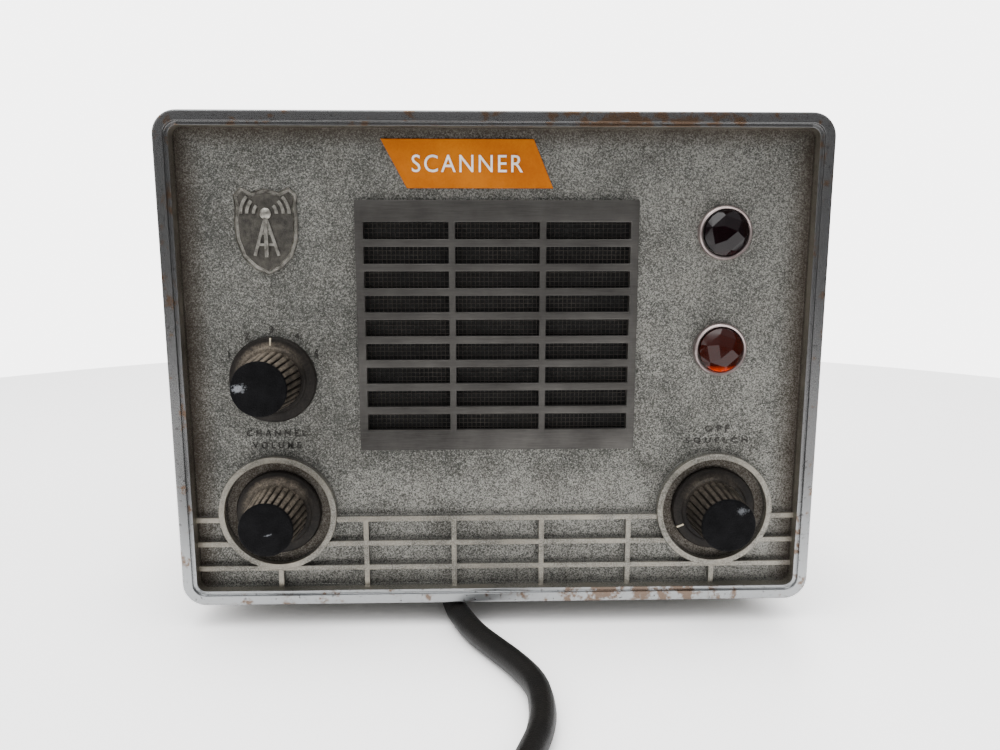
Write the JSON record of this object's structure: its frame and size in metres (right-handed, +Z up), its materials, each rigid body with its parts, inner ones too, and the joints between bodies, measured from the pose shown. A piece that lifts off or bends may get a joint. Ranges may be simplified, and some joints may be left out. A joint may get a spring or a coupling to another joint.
{
  "type": "police scanner",
  "caption": "Desktop valve monitor receiver with a die-cast front, slotted speaker grille, faceted pilot lamps, fluted skirted knobs, a steel wrap case and a mains lead.",
  "frame": {"origin": "bottom centre of the set between its feet, on the surface it stands on, measured without the lead", "axes": "+Z up, -Y out of the front panel, +X to the right seen from the front"},
  "size_m": [0.2189, 0.4541, 0.142],
  "materials": {
    "die_cast": "cast, weathered",
    "grille_metal": "cast, satin",
    "woven_cloth": "woven",
    "badge_metal": "cast relief",
    "tag_plastic": "embossed strip",
    "case_enamel": "hammertone enamel",
    "plated_steel": "zinc plated",
    "black_rubber": "matte",
    "knob_bakelite": "moulded, dusty",
    "cap_plastic": "scuffed",
    "turned_steel": "turned",
    "nickel": "bright",
    "red_glass": "faceted",
    "amber_glass": "faceted",
    "clear_glass": "clear",
    "phenolic": "laminate",
    "black_phenolic": "moulded",
    "spun_aluminium": "drawn",
    "core_iron": "varnished",
    "speaker_steel": "grey enamel",
    "cone_paper": "pulp",
    "copper_wire": "enamelled",
    "lead_rubber": "dusty"
  },
  "bodies": {
    "set": {"front_bezel": "die_cast", "speaker_grille": "grille_metal", "grille_mesh": "woven_cloth", "badge": "badge_metal", "callsign_tag": "tag_plastic", "case_shell": "case_enamel", "bottom_cover": "case_enamel", "rear_panel": "case_enamel", "feet": "black_rubber", "foot_screws": "plated_steel", "case_screws": "plated_steel", "chassis": "plated_steel", "panel_screws": "plated_steel", "speaker_basket": "speaker_steel", "speaker_magnet": "core_iron", "speaker_screws": "plated_steel", "channel_switch": "phenolic", "volume_pot": "plated_steel", "squelch_pot": "plated_steel", "control_nuts": "nickel", "upper_jewel": "red_glass", "lower_jewel": "amber_glass", "lamp_rings": "nickel", "lamp_holders": "plated_steel", "lamp_bulbs": "clear_glass", "crystals": "nickel", "crystal_sockets": "phenolic", "valves": "clear_glass", "valve_sockets": "black_phenolic", "valve_shields": "spun_aluminium", "if_cans": "spun_aluminium", "power_transformer": "core_iron", "output_transformer": "core_iron", "filter_capacitor": "spun_aluminium", "component_board": "phenolic", "fuse_holder": "black_phenolic", "aerial_socket": "nickel", "speaker_jack": "nickel", "strain_relief": "lead_rubber", "cord": "lead_rubber", "cord_coil": "lead_rubber", "cord_tail": "lead_rubber", "plug": "lead_rubber"},
    "channel_selector": {"channel_knob": "knob_bakelite", "channel_knob_cap": "cap_plastic", "channel_set_screw": "turned_steel", "channel_shaft": "turned_steel", "switch_rotors": "phenolic"},
    "volume_control": {"volume_knob": "knob_bakelite", "volume_knob_cap": "cap_plastic", "volume_set_screw": "turned_steel", "volume_shaft": "turned_steel"},
    "squelch_control": {"squelch_knob": "knob_bakelite", "squelch_knob_cap": "cap_plastic", "squelch_set_screw": "turned_steel", "squelch_shaft": "turned_steel"},
    "cone": {"speaker_cone": "cone_paper", "voice_coil": "copper_wire"},
    "fuse_carrier": {"fuse_cap": "black_phenolic", "fuse": "clear_glass"}
  },
  "joints": [
    {"name": "channel_turn", "type": "hinge", "parent": "set", "child": "channel_selector", "pos_m": [-0.062, -0.13, 0.071], "axis": [0, 1, 0], "range_deg": [-60, 60]},
    {"name": "volume_turn", "type": "hinge", "parent": "set", "child": "volume_control", "pos_m": [-0.062, -0.13, 0.033], "axis": [0, 1, 0], "range_deg": [-15, 285]},
    {"name": "squelch_turn", "type": "hinge", "parent": "set", "child": "squelch_control", "pos_m": [0.062, -0.13, 0.033], "axis": [0, 1, 0], "range_deg": [-33, 267]},
    {"name": "cone_travel", "type": "slide", "parent": "set", "child": "cone", "axis": [0, 1, 0], "range_m": [-0.0008, 0.0008], "stiffness_N_per_m": 1500},
    {"name": "fuse_pull", "type": "slide", "parent": "set", "child": "fuse_carrier", "axis": [0, 1, 0], "range_m": [0, 0.03]}
  ]
}
